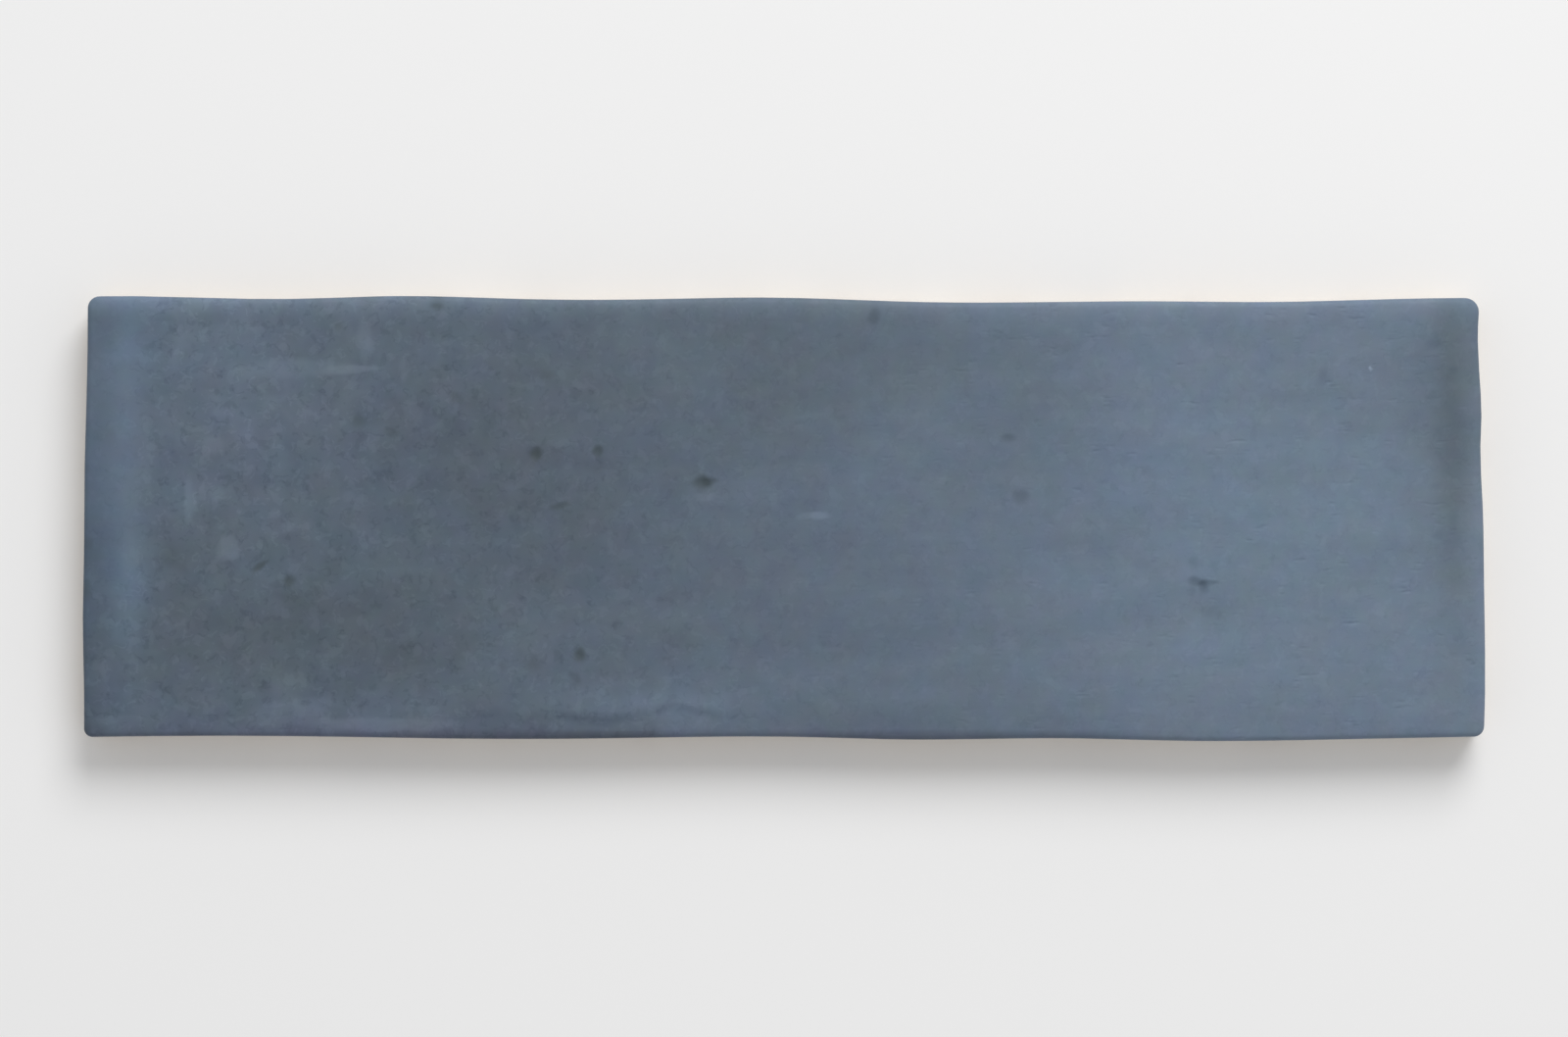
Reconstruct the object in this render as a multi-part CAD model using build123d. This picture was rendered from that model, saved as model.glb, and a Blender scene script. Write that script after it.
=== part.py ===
"""A glazed ceramic wall tile with the uneven edges and rolling face of a hand-made one.

It is pressed from clay dust in one piece, glazed on its face and fired. Millimetres.
+X runs along the tile, +Y across it and +Z out of the glazed face.
The origin is the middle of the back, which is bedded on a wall or lies on a floor.
"""

import math
import os

from build123d import *

# Overall sizes, to the straight lines that the edges wander about.
tile_length = 200.0
tile_width = 62.8
tile_thickness = 8.3

# The wandering sides, seen with the face up: (share of the side, stand-off from the straight line).
# Shares run from left to right and from bottom to top, and the sides meet at their first and last points.
top_wave = [(0.0, 0.42), (0.03, 0.46), (0.145, 0.06), (0.22, 0.48), (0.315, 0.03), (0.42, 0.07),
            (0.485, 0.26), (0.60, -0.40), (0.765, -0.27), (0.845, -0.38), (0.965, 0.16), (1.0, 0.20)]
bottom_wave = [(0.0, -0.14), (0.05, -0.30), (0.17, -0.25), (0.26, 0.04), (0.36, 0.06), (0.51, -0.18),
               (0.59, 0.20), (0.70, 0.0), (0.78, 0.36), (0.90, 0.15), (1.0, -0.22)]
left_wave = [(0.0, 0.18), (0.13, 0.15), (0.27, 0.30), (0.40, 0.14), (0.62, 0.02), (0.77, -0.24), (1.0, -0.38)]
right_wave = [(0.0, 0.22), (0.10, 0.40), (0.38, 0.24), (0.53, 0.06), (0.66, -0.27), (0.73, -0.12),
              (0.83, -0.44), (1.0, -0.22)]

# Corners in plan, no two alike.
top_left_radius = 1.7
top_right_radius = 2.0
bottom_right_radius = 1.5
bottom_left_radius = 1.2

# The glazed face: one broad slanting swell, and a soft fall to each side that ends in a rounded arris.
swell_height = 0.14
swell_length = 128.0
swell_slant = 0.9
left_fall = 0.42
left_reach = 7.5
right_fall = 0.34
right_reach = 6.0
top_fall = 0.30
top_reach = 4.5
bottom_fall = 0.36
bottom_reach = 5.0
arris_radius = 0.9

# The back: rows of shallow pockets between ribs, which key the tile into its adhesive.
pocket_columns = 6
pocket_rows = 4
back_border = 6.0
rib_width = 2.6
pocket_depth = 0.7
pocket_draft = 35.0
pocket_corner_radius = 1.2
back_edge_chamfer = 0.5

# How closely the face is drawn: the spacing of its points, their margin round the tile and the fit to them.
face_point_spacing = 3.0
face_margin = 6.0
face_fit = 0.005

half_length = tile_length / 2
half_width = tile_width / 2


def wave_end(sign):
    """Which end of a crossing side's wave meets a side: its last for the top or right side, else its first."""
    return -1 if sign > 0 else 0


def long_side(sign, wave):
    """The top (1) or bottom (-1) side, from its left corner to its right one."""
    left = -half_length - left_wave[wave_end(sign)][1]
    right = half_length + right_wave[wave_end(sign)][1]
    return Spline(*[(left + (right - left) * share, sign * (half_width + stand)) for share, stand in wave])


def short_side(sign, wave):
    """The right (1) or left (-1) side, from its bottom corner to its top one."""
    bottom = -half_width - bottom_wave[wave_end(sign)][1]
    top = half_width + top_wave[wave_end(sign)][1]
    return Spline(*[(sign * (half_length + stand), bottom + (top - bottom) * share) for share, stand in wave])


def wandering_block():
    """The tile's plan drawn up past its face, with each corner rounded."""
    plan = make_face(
        [long_side(-1, bottom_wave), short_side(1, right_wave), long_side(1, top_wave), short_side(-1, left_wave)]
    )
    block = extrude(plan, tile_thickness + face_margin)
    corner_radii = [
        ((-half_length, -half_width, 0), bottom_left_radius),
        ((half_length, -half_width, 0), bottom_right_radius),
        ((-half_length, half_width, 0), top_left_radius),
        ((half_length, half_width, 0), top_right_radius),
    ]
    for corner, radius in corner_radii:
        upright = block.edges().filter_by(Axis.Z).sort_by_distance(corner)[0]
        block = fillet(upright, radius)
    return block


def fall(distance, depth, reach):
    """How far the face has sunk at a distance in from a side: all its depth at the side, none past its reach."""
    return depth * max(0.0, 1 - distance / reach) ** 2


def face_height(x, y):
    """Height of the glazed face over the back."""
    swell = swell_height * (math.sin(2 * math.pi * (x + swell_slant * y) / swell_length) - 1)
    left = fall(half_length + x, left_fall, left_reach)
    right = fall(half_length - x, right_fall, right_reach)
    bottom = fall(half_width + y, bottom_fall, bottom_reach)
    top = fall(half_width - y, top_fall, top_reach)
    return tile_thickness + swell - left - right - bottom - top


def stations(length):
    """Evenly spaced places across a length and its margins."""
    span = length + 2 * face_margin
    count = math.ceil(span / face_point_spacing)
    return [span * (i / count - 0.5) for i in range(count + 1)]


def under_face():
    """All that lies under the glazed face, wider and deeper than the tile."""
    points = [[(x, y, face_height(x, y)) for y in stations(tile_width)] for x in stations(tile_length)]
    surface = Face.make_surface_from_array_of_points(points, tol=face_fit, min_deg=3)
    return extrude(surface, tile_thickness + face_margin, dir=(0, 0, -1))


def pressed_body():
    """The tile with its sides and face, a rounded arris round the face and a broken edge round the back."""
    body = wandering_block() & under_face()
    face = body.faces().sort_by(Axis.Z)[-1]
    body = fillet(face.edges(), arris_radius)
    back = body.faces().sort_by(Axis.Z)[0]
    return chamfer(back.edges(), back_edge_chamfer)


def pocket_size(length, count):
    """The size that lets so many pockets fill a length between the borders, with ribs between them."""
    return (length - 2 * back_border - (count - 1) * rib_width) / count


def back_pockets():
    """Every pocket of the back, narrowing into the clay so that the tile leaves its mould."""
    pocket_length = pocket_size(tile_length, pocket_columns)
    pocket_width = pocket_size(tile_width, pocket_rows)
    mouth = RectangleRounded(pocket_length, pocket_width, pocket_corner_radius)
    pocket = extrude(mouth, pocket_depth, taper=pocket_draft)
    grid = GridLocations(pocket_length + rib_width, pocket_width + rib_width, pocket_columns, pocket_rows)
    return [place * pocket for place in grid]


tile = pressed_body() - back_pockets()

os.makedirs("parts", exist_ok=True)
export_step(tile, "parts/tile.step")
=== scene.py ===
"""A matte blue-grey wall tile with the uneven edges and clouded glaze of a hand-made one.

It lies face up on a pale floor and is seen from straight above. Metres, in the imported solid's frame.
"""

import math
from collections import namedtuple

import bmesh
import bpy
from mathutils import Matrix, Vector, noise
from mathutils.bvhtree import BVHTree


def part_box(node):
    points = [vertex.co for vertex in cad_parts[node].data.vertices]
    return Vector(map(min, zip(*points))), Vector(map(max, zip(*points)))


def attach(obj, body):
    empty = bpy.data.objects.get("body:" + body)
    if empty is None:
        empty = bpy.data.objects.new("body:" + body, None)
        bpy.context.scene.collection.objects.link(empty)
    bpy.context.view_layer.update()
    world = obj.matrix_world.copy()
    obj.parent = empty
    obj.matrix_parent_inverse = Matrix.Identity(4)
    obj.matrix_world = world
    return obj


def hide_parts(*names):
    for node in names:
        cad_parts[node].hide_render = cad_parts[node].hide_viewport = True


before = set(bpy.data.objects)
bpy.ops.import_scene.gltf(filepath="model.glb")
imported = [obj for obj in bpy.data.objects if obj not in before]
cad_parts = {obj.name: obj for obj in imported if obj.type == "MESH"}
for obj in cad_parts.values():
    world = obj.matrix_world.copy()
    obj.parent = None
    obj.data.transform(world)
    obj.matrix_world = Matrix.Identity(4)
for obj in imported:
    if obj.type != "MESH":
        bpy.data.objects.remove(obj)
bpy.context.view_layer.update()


# The glazed face: clay dust stamped in one stroke in a steel mould, then sprayed with glaze and fired.
# The mould's sides wander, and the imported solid's walls give their line. The face swells and falls
# softly to its sides, and gas, grit and handling have left pits and smears in the glaze.
mm = 0.001
face_pitch = 0.5
side_reach = 3.0
arris_radius = 0.9
tile_length = 200.0
tile_width = 62.8
tile_thickness = 8.3
swell_height = 0.14
swell_length = 128.0
swell_slant = 0.9
roll_height = 0.035
roll_length = 17.0

Fall = namedtuple("Fall", "depth reach")
left_fall = Fall(0.42, 7.5)
right_fall = Fall(0.34, 6.0)
top_fall = Fall(0.30, 4.5)
bottom_fall = Fall(0.36, 5.0)

# Each pit: its middle, length and width, turn in degrees, depth, how dark it is painted for its burnt glaze
# and the painted shade in its hollow, and how far it narrows towards its right-hand end.
Pit = namedtuple("Pit", "x y length width turn depth stain taper", defaults=[0])
pits = [
    Pit(-11.6, 5.2, 3.2, 2.6, 0, 0.13, 0.78),
    Pit(-10.5, 5.3, 2.8, 1.7, 0, 0.04, 0.50, 0.6),
    Pit(-35.4, 9.2, 2.2, 2.7, -15, 0.20, 0.75),
    Pit(-26.6, 9.6, 1.8, 2.2, 0, 0.12, 0.62),
    Pit(-26.3, 7.4, 1.4, 2.2, 0, 0.02, 0.20),
    Pit(-29.2, -19.5, 2.2, 2.7, 0, 0.18, 0.70),
    Pit(-29.8, -22.9, 1.9, 3.2, 25, 0.05, 0.32),
    Pit(-35.7, -20.8, 2.5, 2.3, 0, 0.05, 0.30),
    Pit(-40.2, -21.0, 1.5, 2.0, 0, 0.03, 0.25),
    Pit(-70.6, -8.9, 2.3, 2.0, 20, 0.10, 0.60),
    Pit(-74.8, -6.8, 3.4, 1.5, 35, 0.10, 0.60, 0.5),
    Pit(-32.0, 1.8, 3.8, 1.2, 15, 0.03, 0.42),
    Pit(58.8, -9.0, 2.4, 1.8, -12, 0.10, 0.46),
    Pit(59.9, -9.8, 2.0, 2.6, 15, 0.14, 0.40),
    Pit(60.9, -9.2, 3.6, 1.6, 6, 0.08, 0.38, 0.6),
    Pit(58.4, -10.5, 1.2, 1.6, 0, 0.03, 0.16),
    Pit(58.6, -6.3, 1.4, 2.2, 35, 0.03, 0.20),
    Pit(60.5, -10.5, 9.0, 6.0, 0, 0.01, 0.09),
    Pit(61.2, -13.4, 4.6, 2.3, -4, 0.02, 0.16),
    Pit(33.9, 3.2, 3.0, 2.6, 0, 0.05, 0.36),
    Pit(32.0, 11.5, 2.9, 1.5, 0, 0.05, 0.38),
    Pit(-33.9, 20.5, 2.8, 1.9, 0, 0.04, 0.30),
    Pit(-46.9, 17.3, 2.6, 1.9, -30, 0.04, 0.32),
    Pit(-60.8, 14.0, 2.8, 2.3, 0, 0.03, 0.30),
    Pit(-56.0, 12.3, 2.6, 1.6, -20, 0.03, 0.28),
    Pit(-63.4, 27.4, 1.8, 1.7, 0, 0.03, 0.30),
    Pit(-87.8, -5.4, 3.2, 3.2, 0, 0.02, 0.22),
    Pit(77.1, 20.2, 1.5, 3.2, -12, 0.03, 0.25),
    Pit(95.6, 21.3, 1.7, 1.6, 0, 0.03, 0.30),
    Pit(93.0, 25.0, 3.0, 2.2, 30, 0.03, 0.25),
    Pit(92.4, 17.2, 1.8, 1.4, 0, 0.02, 0.20),
    Pit(93.6, 12.4, 1.5, 2.0, 20, 0.02, 0.16),
    Pit(93.2, 4.6, 2.2, 1.3, 0, 0.02, 0.16),
    Pit(93.6, -2.4, 1.8, 1.6, -20, 0.02, 0.14),
    Pit(95.8, -0.6, 1.6, 4.4, 0, 0.02, 0.16),
    Pit(12.9, 28.8, 2.2, 3.2, -15, 0.05, 0.45),
    Pit(-49.6, 30.4, 2.4, 1.6, 0, 0.04, 0.45),
    Pit(-99.5, -10.2, 1.6, 3.4, 0, 0.03, 0.35),
    Pit(-99.2, -3.6, 1.4, 2.6, 0, 0.03, 0.25),
    Pit(-99.6, -29.8, 1.6, 2.4, 0, 0.03, 0.35),
]

# Each smear: a thumbed or dragged stroke of paler glaze that stands a little proud, with its height
# and how much paler it is. It is whole to its core and gone past its edge, as shares of its size.
Smear = namedtuple("Smear", "x y length width turn height tone taper", defaults=[0])
smears = [
    Smear(-68.6, 21.4, 24.0, 5.0, 1, 0.015, 0.14, 0.65),
    Smear(-61.8, 21.4, 10.0, 2.2, 3, 0.010, 0.15, 0.5),
    Smear(5.3, 0.3, 3.4, 1.7, 2, 0.015, 0.15),
    Smear(3.9, 0.2, 5.4, 1.5, 3, 0.010, 0.11),
    Smear(83.7, 21.6, 0.6, 0.6, 0, 0.010, 0.5),
    Smear(-84.8, 2.4, 1.9, 9.0, 0, 0.010, 0.15),
    Smear(-79.4, -4.2, 4.0, 4.4, 0, 0.010, 0.22),
    Smear(-80.8, 3.5, 2.4, 2.2, 0, 0.010, 0.12),
    Smear(-72.8, 0.6, 2.0, 1.6, 40, 0.010, 0.12),
    Smear(-70.9, -1.3, 2.2, 1.8, 0, 0.010, 0.14),
    Smear(-62.0, 3.3, 2.4, 2.0, 0, 0.010, 0.12),
    Smear(-81.6, 10.6, 4.0, 3.0, 0, 0.010, 0.12),
    Smear(-80.0, 15.0, 4.0, 2.0, 0, 0.010, 0.10),
    Smear(-53.0, 15.2, 4.4, 3.4, -35, 0.010, 0.12),
    Smear(-54.3, 21.4, 1.8, 4.6, 0, 0.010, 0.12),
    Smear(-60.0, 25.6, 2.4, 9.0, 0, 0.008, 0.14),
    Smear(-11.4, 3.1, 3.8, 1.5, 0, 0.010, 0.13),
    Smear(-57.0, -29.4, 26.0, 2.4, -1, 0.010, 0.22),
    Smear(-70.5, -27.6, 14.0, 4.6, 8, 0.010, 0.12),
    Smear(-81.0, -26.4, 11.0, 2.4, -22, 0.010, 0.08),
    Smear(-95.0, -29.0, 10.0, 2.6, 0, 0.010, 0.10),
]
smear_core = 0.5
smear_edge = 1.05
smear_wander = 0.4
smear_wander_length = 3.0

# The clouds of the glaze: each is a soft patch whose tone is above or below the glaze round it.
# A tone of 0 is the burnt olive grey where the glaze lies thin, and 1 the palest blue where it lies thick.
Cloud = namedtuple("Cloud", "x y length width turn tone taper", defaults=[0])
thin_tone = 0.31
thick_tone = 0.75
thin_end = -48.0
thick_end = 72.0
clouds = [
    Cloud(-84, 22, 52, 32, 0, 0.19),
    Cloud(-93.6, 2, 7.0, 64, 0, 0.19),
    Cloud(-93.2, -7.5, 6, 14, 0, 0.16),
    Cloud(-93.8, 26, 5, 9, 0, 0.08),
    Cloud(-77, 25.5, 13, 9, 0, 0.07),
    Cloud(-100, -20, 9, 44, 0, -0.12),
    Cloud(-90, 26.3, 7, 5, -30, -0.07),
    Cloud(-42, 6, 44, 30, 15, -0.07),
    Cloud(-66, -16, 50, 20, -5, -0.11),
    Cloud(-88, -6, 9, 12, 0, -0.08),
    Cloud(95.8, 9, 6.0, 58, 0, -0.24),
    Cloud(99.2, 3, 3.4, 22, 0, 0.07),
    Cloud(89, 20, 16, 18, 0, -0.06),
    Cloud(100, 24, 36, 44, 0, -0.17),
    Cloud(-2, 13, 20, 14, 0, -0.11),
    Cloud(-4, 4, 12, 6, 0, 0.08),
    Cloud(45, -2, 14, 14, 0, -0.05),
    Cloud(94, 14, 10, 16, 0, -0.05),
    Cloud(-86, 0, 10, 18, 0, 0.06),
    Cloud(-28, -3, 24, 12, 0, -0.04),
    Cloud(18, -28, 24, 6, 0, -0.05),
    Cloud(88, -15, 18, 20, 0, 0.05),
    Cloud(14, 22, 56, 22, 0, -0.11),
    Cloud(36, 14, 20, 22, 0, -0.06),
    Cloud(60, 6, 40, 26, 0, 0.05),
    Cloud(80, 1, 26, 10, 0, 0.05),
    Cloud(18, -14, 40, 18, 0, -0.08),
    Cloud(-16, -25, 60, 10, 0, 0.12),
    Cloud(-17, -26, 20, 5, 0, 0.16),
    Cloud(-28, -28, 16, 7, 0, 0.08),
    Cloud(-12, -29.5, 14, 5, 0, 0.07),
    Cloud(12, -28, 36, 8, 0, -0.11),
    Cloud(-60, -27, 50, 8, 0, 0.07),
    Cloud(-85, 4, 9, 12, 0, 0.06),
    Cloud(-85, 18, 10, 8, 0, -0.08),
    Cloud(62, -19, 40, 12, 0, 0.04),
    Cloud(40, -26, 60, 9, 0, -0.06),
    Cloud(-86, 27, 16, 10, 0, 0.08),
    Cloud(30, 27, 18, 8, 0, -0.05),
    Cloud(62, 27, 16, 8, 0, -0.07),
    Cloud(-65, 4, 9, 9, 0, -0.05),
    Cloud(-77, 6, 12, 20, 0, 0.05),
    Cloud(8, 4, 36, 8, 0, 0.03),
    Cloud(-33, -9, 16, 12, 0, -0.045),
    Cloud(-56, -11, 12, 8, 0, 0.05),
    Cloud(-75, -11, 10, 8, 0, 0.04),
    Cloud(65, -27, 12, 8, 0, -0.06),
    Cloud(61, 4, 20, 9, 0, -0.06),
    Cloud(-46, 18, 12, 10, 0, 0.035),
]
patch_softness = 1.5
cloud_wander = 5.0
cloud_wander_length = 15.0
cloud_full_sway = 25.0

# The tints of the glaze, each a soft patch like a cloud: colder blue, olive, lilac or green.
Tint = namedtuple("Tint", "x y length width turn colour strength taper", defaults=[0])
cold = Vector((0.952, 1.0, 1.04))
olive = Vector((1.03, 1.008, 0.958))
lilac = Vector((1.04, 0.94, 1.03))
green = Vector((0.99, 1.022, 0.99))
tints = [
    Tint(-98, 6, 19, 74, 0, cold, 1.0),
    Tint(-97, -9, 10, 24, 0, cold, 0.7),
    Tint(-100, -14, 4, 44, 0, cold, 0.8),
    Tint(-66, -16, 44, 20, -5, olive, 0.5),
    Tint(-39, 8, 24, 16, 0, olive, 0.5),
    Tint(-89, -7, 8, 14, 0, olive, 0.4),
    Tint(-4, 22, 60, 22, 0, olive, 0.6),
    Tint(96.4, 6, 9, 60, 0, olive, 1.0),
    # This olive strip along the far side makes the painted highlight there greyer and warmer.
    Tint(-10, 31.5, 200, 4.5, 0, olive, 0.9),
    Tint(62, 3, 44, 32, 0, cold, 0.5),
    Tint(-50, 6, 20, 20, 0, cold, 0.3),
    Tint(-70, -31, 66, 6, 0, lilac, 1.0),
    Tint(0, -31.4, 130, 4, 0, lilac, 0.8),
    Tint(-80, 12, 40, 20, 0, lilac, 0.25),
    Tint(4, -8, 44, 40, 0, lilac, 0.22),
    Tint(-60, -6, 40, 14, 0, green, 0.5),
    Tint(-68, -15, 50, 20, -5, green, 0.5),
    Tint(-82, -29, 34, 9, 0, cold, 0.7),
    Tint(-94, 26, 24, 14, 0, cold, 0.5),
    Tint(72, -4, 44, 50, 0, green, 0.8),
]
tint_wander = 2.5
tint_wander_length = 9.0
tint_full_sway = 20.0

# The wave that the mould's lower lip has dragged along the near side, a shallow groove with a line of painted
# shade along it:
# its line and its strength, each drawn from left to right.
drag_line = [(-49, -28.2), (-43, -28.0), (-37, -28.1), (-31, -28.4), (-26.2, -28.9), (-22.5, -28.5),
             (-19.4, -27.8), (-16.6, -27.1), (-14.4, -27.0), (-11.6, -27.8), (-8.5, -28.3), (-3, -28.6)]
drag_strength = [(-49, 0), (-44, 0.4), (-35, 0.4), (-30, 1), (-24, 1), (-20, 0.5), (-16, 0.9), (-12, 0.9),
                 (-7, 0.3), (-3, 0)]
drag_width = 0.8
drag_depth = 0.05
drag_painted_shade = -0.21

# Painted light on the glaze's rim, where the arris turns to the lamp or away from it: a painted highlight
# along the far side and a line of painted shade along the near one, whose strength is drawn from left to
# right. Along the right-hand side a faint painted highlight.
far_highlight_left = 0.46
far_highlight_right = 0.26
far_highlight_span = (-60, 50)
far_highlight_reach = 3.0
far_highlight_power = 1.5
near_shade_line = [(-101, 0.03), (-64, 0.02), (-48, 0.12), (-34, 0.22), (-20, 0.24), (-15, 0.12), (-4, 0.14),
                 (18, 0.22), (40, 0.18), (60, 0.04), (101, 0.03)]
near_shade_start = 0.8
near_shade_reach = 1.3
right_highlight_tone = 0.08
right_highlight_reach = 2.0

# The pits' burnt glaze and painted shade have ragged edges. They, the clouds with the smears, and the tints
# wander by a slice each of one noise, which is the same at every run.
burn_and_shade_core = 0.25
burn_and_shade_edge = 1.2
burn_and_shade_wander = 0.25
burn_and_shade_wander_length = 1.2
burn_and_shade_slice = 3
cloud_slice = 7
tint_slice = 11
wander_seed = 4
noise.seed_set(wander_seed)

far_share = 9.0


def out_share(mark, x, y):
    """How far out of a mark's middle a point lies, with 1 at the mark's edge."""
    x -= mark.x
    y -= mark.y
    reach = max(mark.length, mark.width)
    if abs(x) > reach or abs(y) > reach:
        return far_share
    turn = math.radians(mark.turn)
    along = 2 * (x * math.cos(turn) + y * math.sin(turn)) / mark.length
    narrowed = mark.width * (1 - mark.taper * min(1.0, max(0.0, (along + 1) / 2)))
    across = 2 * (y * math.cos(turn) - x * math.sin(turn)) / narrowed
    return math.hypot(along, across)


def bowl(share):
    """A soft round hollow: 1 at its middle and 0 from its edge outwards."""
    return max(0.0, 1 - share * share) ** 2


def ramp(value, start, end):
    """A smooth rise from 0 at the start to 1 at the end."""
    share = min(1.0, max(0.0, (value - start) / (end - start)))
    return share * share * (3 - 2 * share)


def fall_at(distance, fall):
    """How far the face has sunk at a distance in from a side."""
    return fall.depth * max(0.0, 1 - distance / fall.reach) ** 2


def height_on(line, x):
    """Height of a drawn line over a place along the tile, smooth from each of its points to the next."""
    for (left, left_height), (right, right_height) in zip(line, line[1:]):
        if x <= right:
            return left_height + (right_height - left_height) * ramp(x, left, right)
    return line[-1][1]


def drag_at(x, y):
    """How near a point lies to the dragged wave: 1 on its line and 0 away from it."""
    return height_on(drag_strength, x) * math.exp(-(((y - height_on(drag_line, x)) / drag_width) ** 2))


def face_height(x, y):
    """Height of the glazed face over the back, in millimetres as its x and y are."""
    swell = swell_height * (math.sin(2 * math.pi * (x + swell_slant * y) / swell_length) - 1)
    falls = (
        fall_at(tile_length / 2 + x, left_fall)
        + fall_at(tile_length / 2 - x, right_fall)
        + fall_at(tile_width / 2 + y, bottom_fall)
        + fall_at(tile_width / 2 - y, top_fall)
    )
    roll = roll_height * (noise.noise(Vector((x, y, 0)) / roll_length) - 1)
    hollows = sum(pit.depth * bowl(out_share(pit, x, y)) for pit in pits)
    proud = sum(smear.height * bowl(out_share(smear, x, y)) for smear in smears)
    return tile_thickness + swell - falls + roll - hollows + proud - drag_depth * drag_at(x, y)


def cloud_tone(x, y):
    """Tone of the glaze, from the run of it along the tile and its clouds."""
    drift = noise.noise_vector(Vector((x, y, cloud_slice)) / cloud_wander_length) * cloud_wander
    tone = thin_tone + (thick_tone - thin_tone) * ramp(x, thin_end, thick_end)
    for cloud in clouds:
        sway = drift * min(1.0, min(cloud.length, cloud.width) / cloud_full_sway)
        tone += cloud.tone * math.exp(-patch_softness * out_share(cloud, x + sway.x, y + sway.y) ** 2)
    return tone


def mark_tone(x, y):
    """How much the smears lighten the glaze and the painted shade of the dragged wave darkens it."""
    drift = noise.noise_vector(Vector((x, y, cloud_slice)) / smear_wander_length) * smear_wander
    marks = drag_painted_shade * drag_at(x, y)
    for smear in smears:
        share = out_share(smear, x + drift.x, y + drift.y)
        marks += smear.tone * (1 - ramp(share, smear_core, smear_edge))
    return marks


def rim_painted_light(x, y):
    """How much painted light lies near each side: a painted highlight over the far and right-hand arrises and
    painted shade over the near one.
    """
    strength = far_highlight_left + (far_highlight_right - far_highlight_left) * ramp(x, *far_highlight_span)
    far = strength * max(0.0, 1 - (tile_width / 2 - y) / far_highlight_reach) ** far_highlight_power
    near = height_on(near_shade_line, x) * (1 - ramp(tile_width / 2 + y, near_shade_start, near_shade_reach))
    right = right_highlight_tone * max(0.0, 1 - (tile_length / 2 - x) / right_highlight_reach) ** 2
    return far - near + right


def tint_at(x, y):
    """The colour that the glaze is multiplied by: white, or the tint of the patches that a point lies in."""
    colour = Vector((1, 1, 1))
    drift = noise.noise_vector(Vector((x, y, tint_slice)) / tint_wander_length) * tint_wander
    for patch in tints:
        sway_x = drift.x * min(1.0, patch.length / tint_full_sway)
        sway_y = drift.y * min(1.0, patch.width / tint_full_sway)
        strength = patch.strength * math.exp(-patch_softness * out_share(patch, x + sway_x, y + sway_y) ** 2)
        colour *= Vector((1, 1, 1)).lerp(patch.colour, strength)
    return (*colour, 1)


def burn_and_shade_at(x, y):
    """How dark the pits are painted, from 0 to 1: their burnt glaze and the painted shade of their hollows.
    """
    drift = noise.noise_vector(Vector((x, y, burn_and_shade_slice)) / burn_and_shade_wander_length) * burn_and_shade_wander
    pit_darkness = 0
    for pit in pits:
        pit_darkness += pit.stain * (1 - ramp(out_share(pit, x + drift.x, y + drift.y), burn_and_shade_core, burn_and_shade_edge))
    return min(1.0, pit_darkness)


low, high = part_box("tile")
middle = (low + high) / 2
half = (high - low) / 2
body = bmesh.new()
bmesh.ops.create_grid(
    body,
    x_segments=round(2 * half.x / mm / face_pitch),
    y_segments=round(2 * half.y / mm / face_pitch),
    size=1,
    matrix=Matrix.LocRotScale(middle, None, half),
)

# Closer faces round the crisp marks, so that each pit has a round wall and a small smear a clean edge.
mark_margin = 1.3
crisp_burn_and_shade = 0.3
crisp_smears = smears[1:5]
crisp_drag = 0.05
crisp_cuts = 2
crisp_marks = [pit for pit in pits if pit.stain > crisp_burn_and_shade] + crisp_smears
near_marks = {}
for face in body.faces:
    x, y = face.calc_center_median().xy / mm
    if drag_at(x, y) > crisp_drag or any(out_share(mark, x, y) < mark_margin for mark in crisp_marks):
        near_marks.update(dict.fromkeys(face.edges))
bmesh.ops.subdivide_edges(body, edges=list(near_marks), cuts=crisp_cuts, use_grid_fill=True)

# The rows near each side bend to the walls, and at a corner they fan out round it.
solid = BVHTree.FromObject(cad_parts["tile"], bpy.context.evaluated_depsgraph_get())
core = half - Vector((side_reach, side_reach, 0)) * mm
outward = body.verts.layers.float_vector.new("outward")
foot = body.verts.layers.float_vector.new("foot")
tone = body.verts.layers.float.new("tone")
marks = body.verts.layers.float.new("marks")
stain = body.verts.layers.float.new("stain")
tint = body.verts.layers.float_color.new("tint")
for vert in body.verts:
    place = vert.co - middle
    inner = Vector((max(-core.x, min(core.x, place.x)), max(-core.y, min(core.y, place.y)), 0))
    spoke = place - inner
    spoke.z = 0
    if spoke.length > 0:
        share = max(abs(spoke.x), abs(spoke.y)) / (side_reach * mm)
        spoke.normalize()
        wall = solid.find_nearest(middle + inner + spoke * side_reach * mm)[0]
        edge_point = wall - middle - spoke * arris_radius * mm
        place = inner.lerp(edge_point, share)
        vert[outward] = spoke
    x, y = (middle + place).xy / mm
    vert.co = Vector((x, y, face_height(x, y))) * mm
    vert[foot] = vert.co
    # The tone carries the glaze's clouds and the painted highlight and shade of its rim.
    vert[tone] = cloud_tone(x, y) + rim_painted_light(x, y)
    vert[marks] = mark_tone(x, y)
    vert[tint] = tint_at(x, y)
    # The pits are darkened for their burnt glaze and for painted shade in their hollows.
    vert[stain] = burn_and_shade_at(x, y)


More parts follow.
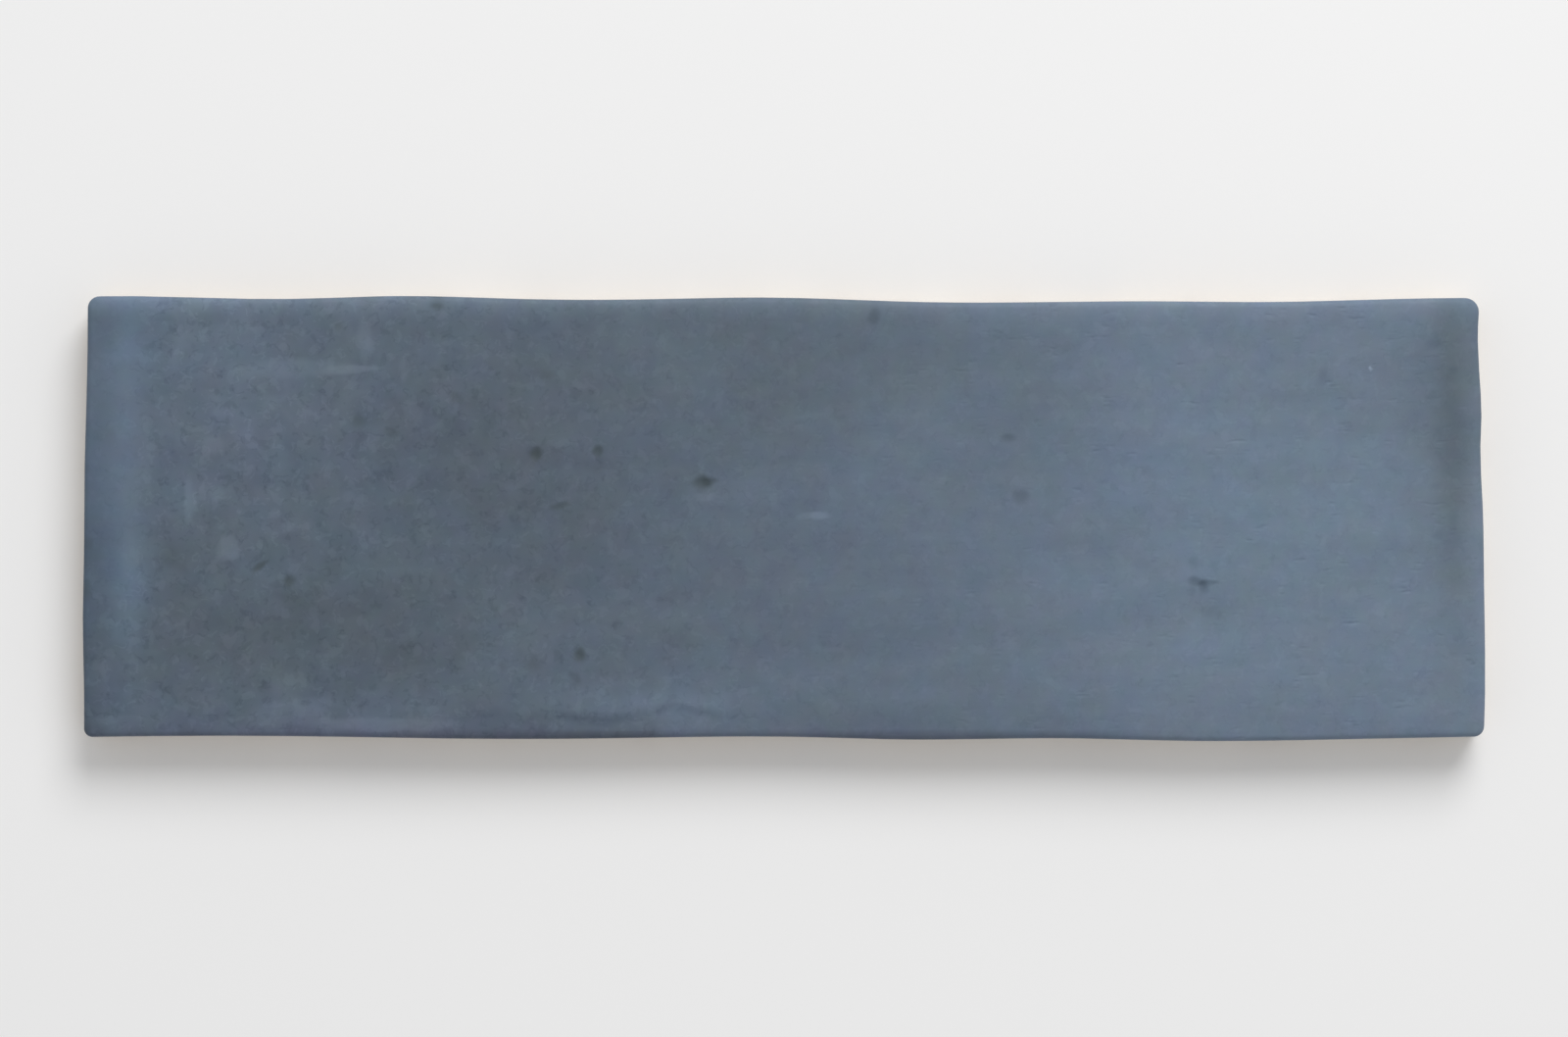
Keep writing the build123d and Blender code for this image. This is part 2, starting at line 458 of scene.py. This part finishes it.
# The sides: the glaze rounds the arris and runs down the pressed walls to an uneven line.
# Below it the clay is bare, a glaze's thickness further in, down to the broken edge of the back.
arris_rows = 6
glaze_rows = 5
clay_rows = 5
glaze_line = 4.7
glaze_wander = 0.9
glaze_wander_length = 15.0
glaze_ripple = 0.5
glaze_ripple_length = 4.5
glaze_run = 2.6
glaze_run_length = 10.0
glaze_run_start = 0.22
glaze_run_shift = Vector((5, 3, 0))
glaze_thickness = 0.14
lip_tone = 0.16
back_chamfer = 0.5
back_flat = 0.4


def line_height(start):
    """Height of the glaze's lower edge over the back, beneath a point of the face's rim."""
    place = start / mm
    wander = glaze_wander * noise.noise(place / glaze_wander_length)
    ripple = glaze_ripple * noise.noise(place / glaze_ripple_length)
    run = glaze_run * max(0.0, noise.noise(place / glaze_run_length + glaze_run_shift) - glaze_run_start)
    return glaze_line + wander + ripple - run


def draw_ring(rim, out_and_height, paler=0.0):
    """Extrudes the open rim, and sets each new point where the rule puts it, out from the rim and up."""
    made = bmesh.ops.extrude_edge_only(body, edges=rim)["geom"]
    for vert in [part for part in made if isinstance(part, bmesh.types.BMVert)]:
        vert[marks] = paler
        out, height = out_and_height(vert[foot])
        vert.co = vert[foot] + vert[outward] * out * mm
        vert.co.z = height * mm
    return [part for part in made if isinstance(part, bmesh.types.BMEdge) and part.is_boundary]


rim = [edge for edge in body.edges if edge.is_boundary]
for row in range(1, arris_rows + 1):
    angle = math.pi / 2 * row / arris_rows
    rim = draw_ring(rim, lambda start: (
        arris_radius * math.sin(angle),
        start.z / mm - arris_radius * (1 - math.cos(angle)),
    ))
for row in range(1, glaze_rows + 1):
    share = row / glaze_rows
    rim = draw_ring(rim, lambda start: (
        arris_radius,
        (start.z / mm - arris_radius) * (1 - share) + line_height(start) * share,
    ), lip_tone if row == glaze_rows else 0.0)
# The lip of the glaze, rounded in to the clay: each row's inset from the wall and its drop below the line.
lip = [(0.02, 0.07), (0.07, 0.13), (glaze_thickness, 0.15)]
for inset, drop in lip:
    rim = draw_ring(rim, lambda start: (arris_radius - inset, line_height(start) - drop), lip_tone)
glazed = set(body.faces)
for row in range(1, clay_rows + 1):
    share = row / clay_rows
    rim = draw_ring(rim, lambda start: (
        arris_radius - glaze_thickness,
        (line_height(start) - lip[-1][1]) * (1 - share) + back_chamfer * share,
    ))
rim = draw_ring(rim, lambda start: (arris_radius - glaze_thickness - back_chamfer, 0))
rim = draw_ring(rim, lambda start: (arris_radius - glaze_thickness - back_chamfer - back_flat, 0))


# The back: bare clay with rows of shallow pockets between ribs, which key the tile into its adhesive.
# The die's edges are worn round, so each pocket rolls over its lip and into its floor.
pocket_columns = 6
pocket_rows = 4
back_border = 6.0
rib_width = 2.6
pocket_corner_radius = 1.2
pocket_corner_steps = 4
# A pocket's wall from its lip to its floor: each step in and down.
pocket_profile = [(0.08, 0.02), (0.08, 0.06), (0.08, 0.12), (0.25, 0.36), (0.07, 0.08), (0.10, 0.05),
                  (0.12, 0.01)]

pocket_length = (tile_length - 2 * back_border - (pocket_columns - 1) * rib_width) / pocket_columns
pocket_width = (tile_width - 2 * back_border - (pocket_rows - 1) * rib_width) / pocket_rows
for column in range(pocket_columns):
    for row in range(pocket_rows):
        x = (column - (pocket_columns - 1) / 2) * (pocket_length + rib_width)
        y = (row - (pocket_rows - 1) / 2) * (pocket_width + rib_width)
        made = bmesh.ops.create_grid(
            body,
            x_segments=1,
            y_segments=1,
            size=1,
            matrix=Matrix.LocRotScale(
                Vector((x, y, 0)) * mm, None, Vector((pocket_length, pocket_width, 2)) * mm / 2
            ),
        )
        rounded = bmesh.ops.bevel(
            body, geom=made["verts"], offset=pocket_corner_radius * mm,
            affect="VERTICES", segments=pocket_corner_steps, profile=0.5, material=-1,
        )
        floor_face = rounded["verts"][0].link_faces[0]
        for inset, depth in pocket_profile:
            bmesh.ops.inset_region(
                body, faces=[floor_face], thickness=inset * mm, depth=depth * mm,
                use_boundary=True, use_even_offset=True,
            )
open_edges = [edge for edge in body.edges if edge.is_boundary]
filled = bmesh.ops.triangle_fill(body, edges=open_edges, use_beauty=True, normal=(0, 0, -1))["geom"]
bmesh.ops.recalc_face_normals(body, faces=body.faces)
ribs = {part for part in filled if isinstance(part, bmesh.types.BMFace)}
for face in body.faces:
    face.smooth = face not in ribs
    face.material_index = 0 if face in glazed else 1

mesh = bpy.data.meshes.new("glazed_tile")
body.to_mesh(mesh)
body.free()
tile = bpy.data.objects.new("glazed_tile", mesh)
bpy.context.scene.collection.objects.link(tile)


# The glaze: a matte blue-grey coat, burnt to olive where it lies thin. Fine grain and specks run
# through it, flecks crowd its thin end, and a dry brush has left hair lines along its thick end.
def srgb(red, green, blue):
    """A colour as a shader takes it, from the levels that a screen shows."""
    levels = [level / 255 for level in (red, green, blue)]
    return [level / 12.92 if level < 0.04045 else ((level + 0.055) / 1.055) ** 2.4 for level in levels] + [1]


def add_node(tree, kind, inputs, **settings):
    """Adds a shader node, sets its options, and sets or links its inputs."""
    node = tree.nodes.new("ShaderNode" + kind)
    for name, setting in settings.items():
        setattr(node, name, setting)
    for key, value in inputs.items():
        if isinstance(value, bpy.types.NodeSocket):
            tree.links.new(value, node.inputs[key])
        else:
            node.inputs[key].default_value = value
    return node


def combine(tree, operation, first, second):
    """One Math node on two values."""
    return add_node(tree, "Math", {0: first, 1: second}, operation=operation).outputs[0]


def map_range(tree, value, from_low, from_high, to_low, to_high):
    """A value carried from one range to another, and held within it."""
    return add_node(
        tree, "MapRange", {0: value, 1: from_low, 2: from_high, 3: to_low, 4: to_high}
    ).outputs[0]


def stretched(tree, vector, share, shift=0):
    """A place with its measure along the tile cut to a share, so that a noise there is drawn out along it."""
    return add_node(
        tree, "Mapping", {"Vector": vector, "Location": (0, shift, 0), "Scale": (share, 1, 1)}
    ).outputs[0]


def noise_at(tree, vector, size, **inputs):
    """Noise from 0 to 1, whose grains are about as large as the size, in metres."""
    return add_node(tree, "TexNoise", {"Vector": vector, "Scale": 1 / size, **inputs}).outputs["Fac"]


def signed_noise(tree, vector, size, amount, **inputs):
    """Noise about nought, times an amount."""
    about_nought = combine(tree, "SUBTRACT", noise_at(tree, vector, size, **inputs), 0.5)
    return combine(tree, "MULTIPLY", about_nought, amount)


def mix_colours(tree, share, first, second, blend="MIX"):
    """A share of the second colour over the first."""
    return add_node(
        tree, "Mix", {"Factor": share, 6: first, 7: second}, data_type="RGBA", blend_type=blend
    ).outputs[2]


def colour_ramp(tree, value, stops):
    """The colour of a value between stops, each a position and a colour."""
    node = add_node(tree, "ValToRGB", {"Fac": value})
    while len(node.color_ramp.elements) < len(stops):
        node.color_ramp.elements.new(0.5)
    for element, (position, colour) in zip(node.color_ramp.elements, stops):
        element.position = position
        element.color = colour
    return node.outputs["Color"]


def attribute(tree, name, output="Fac"):
    """What the mesh holds under a name."""
    return add_node(tree, "Attribute", {}, attribute_name=name).outputs[output]


glaze = bpy.data.materials.new("matte_glaze")
glaze.use_nodes = True
tree = glaze.node_tree
shader = tree.nodes["Principled BSDF"]
place = add_node(tree, "TexCoord", {}).outputs["Object"]
axes = add_node(tree, "SeparateXYZ", {0: place}).outputs
along = axes["X"]
across = axes["Y"]
thick_end_span = (-40 * mm, 60 * mm)
fleck_fade_span = (-65 * mm, 10 * mm)
thick_end_share = map_range(tree, along, *thick_end_span, 0, 1)
fleck_fade = map_range(tree, along, *fleck_fade_span, 0, 1)

# A haze swept along the tile, a mottle that is strongest at the thin end, and grain.
haze_stretch = 0.4
haze_size = 10 * mm
haze_amount = 0.24
mottle_size = 3.2 * mm
thin_mottle = 0.33
thick_mottle = 0.15
grain_size = 0.5 * mm
grain_amount = 0.03
swept = stretched(tree, place, haze_stretch)
haze_tone = signed_noise(tree, swept, haze_size, haze_amount, Detail=3, Roughness=0.5)
mottle_amount = map_range(tree, fleck_fade, 0, 1, thin_mottle, thick_mottle)
mottle_tone = signed_noise(tree, place, mottle_size, mottle_amount, Detail=1.2, Roughness=0.5, Distortion=0.4)
grain_tone = signed_noise(tree, place, grain_size, grain_amount, Detail=2, Roughness=0.5)

# Pale and dark flakes with ragged edges.
ragged_size = 1.5 * mm
ragged_reach = 1.6 * mm
pale_flake_size = 2.0 * mm
dark_flake_size = 1.7 * mm
pale_flake_band = (0.58, 0.61)
dark_flake_band = (0.39, 0.36)
flake_strength = 0.085
thick_flake_share = 0.45
warp = add_node(tree, "TexNoise", {"Vector": place, "Scale": 1 / ragged_size, "Detail": 2}).outputs["Color"]
warp = add_node(tree, "VectorMath", {0: warp, 1: (0.5, 0.5, 0.5)}, operation="SUBTRACT").outputs[0]
warp = add_node(tree, "VectorMath", {0: warp, "Scale": ragged_reach}, operation="SCALE").outputs[0]
warped = add_node(tree, "VectorMath", {0: place, 1: warp}, operation="ADD").outputs[0]
pale_flake = noise_at(tree, warped, pale_flake_size, Detail=3)
dark_flake = noise_at(tree, warped, dark_flake_size, Detail=3)
flake_tone = combine(tree, "ADD", map_range(tree, pale_flake, *pale_flake_band, 0, flake_strength),
                     map_range(tree, dark_flake, *dark_flake_band, 0, -flake_strength))
flake_tone = combine(tree, "MULTIPLY", flake_tone, map_range(tree, fleck_fade, 0, 1, 1, thick_flake_share))

# Streaks of the brush, stronger towards the thick end.
brush_stretch = 0.13
brush_size = 4.5 * mm
brush_span = (-60 * mm, 0)
thin_brush = 0.06
thick_brush = 0.20
brushed = stretched(tree, place, brush_stretch)
brush_amount = map_range(tree, along, *brush_span, thin_brush, thick_brush)
brush_tone = signed_noise(tree, brushed, brush_size, brush_amount, Detail=4, Roughness=0.6)

# Dark and pale hair lines, in patches of the thick end.
hair_stretch = 0.2
hair_size = 0.5 * mm
hair_band = (0.60, 0.74)
dark_hair = -0.13
pale_hair = 0.09
pale_hair_shift = 0.35 * mm
hair_patch_size = 4 * mm
hair_patch_band = (0.50, 0.64)
hairs = []
for shift, strength in ((0, dark_hair), (pale_hair_shift, pale_hair)):
    hair_line = noise_at(tree, stretched(tree, place, hair_stretch, shift), hair_size, Detail=1)
    hairs.append(map_range(tree, hair_line, *hair_band, 0, strength))
hair_patch = map_range(tree, noise_at(tree, place, hair_patch_size, Detail=2), *hair_patch_band, 0, 1)
hair_amount = combine(tree, "MULTIPLY", hair_patch, thick_end_share)
hair_tone = combine(tree, "MULTIPLY", combine(tree, "ADD", *hairs), hair_amount)

# Short curled scratches, dark in some patches and pale in others.
curl_size = 2.0 * mm
curl_line_band = (0.010, 0.050)
curl_strength = 0.12
curl_patch_size = 1.6 * mm
dark_curl_band = (0.58, 0.67)
pale_curl_band = (0.40, 0.31)
curl_fade_span = (-50 * mm, 20 * mm)
thick_curl_share = 0.35
curl = noise_at(tree, place, curl_size, Detail=2)
curl_line = combine(tree, "ABSOLUTE", combine(tree, "SUBTRACT", curl, 0.5), 0)
curl_patch = noise_at(tree, warped, curl_patch_size, Detail=0)
curls = []
for band, strength in ((dark_curl_band, -curl_strength), (pale_curl_band, curl_strength)):
    scratch = map_range(tree, curl_line, *curl_line_band, strength, 0)
    curls.append(combine(tree, "MULTIPLY", scratch, map_range(tree, curl_patch, *band, 0, 1)))
curl_tone = combine(tree, "MULTIPLY", combine(tree, "ADD", *curls),
                    map_range(tree, along, *curl_fade_span, 1, thick_curl_share))

# Dark specks of many strengths, fewer to the eye at the thick end.
speck_spacing = 2.4 * mm
speck_reach = (0.08, 0.20)
speck_strength = -0.10
speck_level_band = (0.55, 1.0)
thick_speck_share = 0.5
cell = add_node(tree, "TexVoronoi", {"Vector": warped, "Scale": 1 / speck_spacing}).outputs
speck_mask = map_range(tree, cell["Distance"], *speck_reach, speck_strength, 0)
speck_level = add_node(tree, "SeparateXYZ", {0: cell["Color"]}).outputs["X"]
speck_tone = combine(tree, "MULTIPLY", speck_mask, map_range(tree, speck_level, *speck_level_band, 0, 1))
speck_tone = combine(tree, "MULTIPLY", speck_tone, map_range(tree, fleck_fade, 0, 1, 1, thick_speck_share))

# All of these together are calmer along the left-hand side and inside the smears.
calm_along_span = (-93.5 * mm, -89.5 * mm)
calm_across_span = (-16 * mm, -6 * mm)
side_calm = 0.6
smear_calm_band = (0.06, 0.20)
smear_texture_share = 0.45
fine = mottle_tone
for part in (grain_tone, flake_tone, brush_tone, hair_tone, curl_tone, speck_tone):
    fine = combine(tree, "ADD", fine, part)
calm = combine(tree, "MULTIPLY", map_range(tree, along, *calm_along_span, side_calm, 0),
               map_range(tree, across, *calm_across_span, 0, 1))
fine = combine(tree, "MULTIPLY", fine, combine(tree, "SUBTRACT", 1, calm))
# The marks hold the smears' paler glaze, the paler lip of the glaze and the painted shade of the dragged
# wave.
mark = attribute(tree, "marks")
fine = combine(tree, "MULTIPLY", fine, map_range(tree, mark, *smear_calm_band, 1, smear_texture_share))
fine = combine(tree, "ADD", fine, mark)

# The colour follows the tone from thin to thick, with the rim's painted highlight and shade in it. The flecks
# and tints shift it, and in the pits it is darkened to burnt glaze with painted shade.
glaze_stops = [
    (0.00, srgb(74, 83, 94)),
    (0.25, srgb(85, 96, 109)),
    (0.50, srgb(95, 109, 124)),
    (0.75, srgb(107, 122, 140)),
    (1.00, srgb(119, 135, 154)),
]
thin_burnt_shaded_glaze = srgb(64, 73.5, 76)
thick_burnt_shaded_glaze = srgb(68, 82, 97)
dark_fleck = (0.26, 0.31, 0.36, 1)
pale_fleck = (1.74, 1.69, 1.64, 1)
fleck_limit = 0.6
fine_tint_size = 5 * mm
fine_tint_stops = [(0.35, (0.981, 1.0, 1.024, 1)), (0.65, (1.021, 1.001, 0.974, 1))]
fine_blush_size = 3.5 * mm
fine_blush_stops = [(0.35, (1.010, 0.981, 1.010, 1)), (0.65, (0.990, 1.019, 0.990, 1))]
colour = colour_ramp(tree, combine(tree, "ADD", attribute(tree, "tone"), haze_tone), glaze_stops)
shifts = [
    mix_colours(tree, map_range(tree, fine, -fleck_limit, fleck_limit, 0, 1), dark_fleck, pale_fleck),
    colour_ramp(tree, noise_at(tree, place, fine_tint_size, Detail=4), fine_tint_stops),
    colour_ramp(tree, noise_at(tree, warped, fine_blush_size, Detail=3), fine_blush_stops),
    attribute(tree, "tint", "Color"),
]
for shift in shifts:
    colour = mix_colours(tree, 1, colour, shift, "MULTIPLY")
pit_darkness = mix_colours(tree, thick_end_share, thin_burnt_shaded_glaze, thick_burnt_shaded_glaze)
tree.links.new(mix_colours(tree, attribute(tree, "stain"), colour, pit_darkness), shader.inputs["Base Color"])

# A dull sheen, a little drier in the dark of the mottle, over a skin that the grain roughens.
mottle_limit = 0.05
dry_roughness = 0.62
sleek_roughness = 0.52
glaze_specular = 0.2
grain_bump_strength = 0.25
grain_bump_height = 0.04 * mm
sheen = map_range(tree, mottle_tone, -mottle_limit, mottle_limit, dry_roughness, sleek_roughness)
tree.links.new(sheen, shader.inputs["Roughness"])
shader.inputs["Specular IOR Level"].default_value = glaze_specular
skin = add_node(
    tree, "Bump", {"Strength": grain_bump_strength, "Distance": grain_bump_height, "Height": grain_tone}
)
tree.links.new(skin.outputs[0], shader.inputs["Normal"])
mesh.materials.append(glaze)


# The bare clay of the lower sides and the back: pressed dust, fired to a pale and porous buff.
# Fine pores are open all over it, and handling has scuffed it paler in patches.
dust_per_metre = 150
dust_stops = [(0.3, srgb(192, 172, 146)), (0.7, srgb(220, 206, 186))]
pore_spacing = 0.9 * mm
pore_reach = (0.10, 0.22)
pore_level_band = (0.6, 0.7)
pore_strength = 0.55
pore_colour = srgb(138, 116, 92)
scuff_size = 11 * mm
scuff_band = (0.52, 0.70)
scuff_strength = 0.5
scuff_colour = srgb(232, 222, 206)
clay_roughness = 0.9
tooth_per_metre = 2400
tooth_bump_strength = 0.6
tooth_bump_height = 0.1 * mm

clay = bpy.data.materials.new("bare_clay")
clay.use_nodes = True
tree = clay.node_tree
shader = tree.nodes["Principled BSDF"]
place = add_node(tree, "TexCoord", {}).outputs["Object"]
buff = colour_ramp(tree, noise_at(tree, place, 1 / dust_per_metre, Detail=8, Roughness=0.65), dust_stops)
pore = add_node(tree, "TexVoronoi", {"Vector": place, "Scale": 1 / pore_spacing}).outputs
pore_level = add_node(tree, "SeparateXYZ", {0: pore["Color"]}).outputs["X"]
pore_mask = combine(tree, "MULTIPLY", map_range(tree, pore["Distance"], *pore_reach, 1, 0),
                    map_range(tree, pore_level, *pore_level_band, 0, pore_strength))
pored = mix_colours(tree, pore_mask, buff, pore_colour)
scuff = noise_at(tree, place, scuff_size, Detail=6, Roughness=0.7)
scuffed = mix_colours(tree, map_range(tree, scuff, *scuff_band, 0, scuff_strength), pored, scuff_colour)
tree.links.new(scuffed, shader.inputs["Base Color"])
shader.inputs["Roughness"].default_value = clay_roughness
tooth = combine(tree, "SUBTRACT", noise_at(tree, place, 1 / tooth_per_metre, Detail=4), pore_mask)
skin = add_node(
    tree, "Bump", {"Strength": tooth_bump_strength, "Distance": tooth_bump_height, "Height": tooth}
)
tree.links.new(skin.outputs[0], shader.inputs["Normal"])
mesh.materials.append(clay)
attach(tile, "root")
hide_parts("tile")


# The studio: a pale floor under the tile, a broad soft lamp beyond its far side and a camera overhead.
# The walls of the room give an even white light from all round.
floor_size = 6.0
floor_colour = (0.9, 0.9, 0.9, 1)
floor_roughness = 0.9
room_colour = (1, 1, 1, 1)
room_strength = 0.55
lamp_place = Vector((0.35, 1.0, 0.95))
lamp_size = 0.9
lamp_energy = 12.6
frame_width = 0.224
camera_lens = 120.0
camera_sensor = 36.0
camera_sight = 20.0

scene = bpy.context.scene
floor_mesh = bpy.data.meshes.new("floor")
floor_shape = bmesh.new()
bmesh.ops.create_grid(floor_shape, x_segments=1, y_segments=1, size=floor_size / 2)
floor_shape.to_mesh(floor_mesh)
floor_shape.free()
floor = bpy.data.objects.new("floor", floor_mesh)
scene.collection.objects.link(floor)
floor_paint = bpy.data.materials.new("floor_paint")
floor_paint.use_nodes = True
floor_shader = floor_paint.node_tree.nodes["Principled BSDF"]
floor_shader.inputs["Base Color"].default_value = floor_colour
floor_shader.inputs["Roughness"].default_value = floor_roughness
floor_mesh.materials.append(floor_paint)

world = bpy.data.worlds.new("studio")
world.use_nodes = True
room = world.node_tree.nodes["Background"]
room.inputs["Color"].default_value = room_colour
room.inputs["Strength"].default_value = room_strength
scene.world = world

lamp_data = bpy.data.lights.new("soft_lamp", "AREA")
lamp_data.shape = "DISK"
lamp_data.size = lamp_size
lamp_data.energy = lamp_energy
lamp = bpy.data.objects.new("soft_lamp", lamp_data)
lamp.location = lamp_place
lamp.rotation_euler = (-lamp_place).to_track_quat("-Z", "Y").to_euler()
scene.collection.objects.link(lamp)

camera_data = bpy.data.cameras.new("camera")
camera_data.lens = camera_lens
camera_data.sensor_width = camera_sensor
camera_data.clip_end = camera_sight
camera = bpy.data.objects.new("camera", camera_data)
camera.location = (middle.x, middle.y, high.z + frame_width * camera_lens / camera_sensor)
scene.collection.objects.link(camera)
scene.camera = camera
scene.view_settings.view_transform = "Standard"
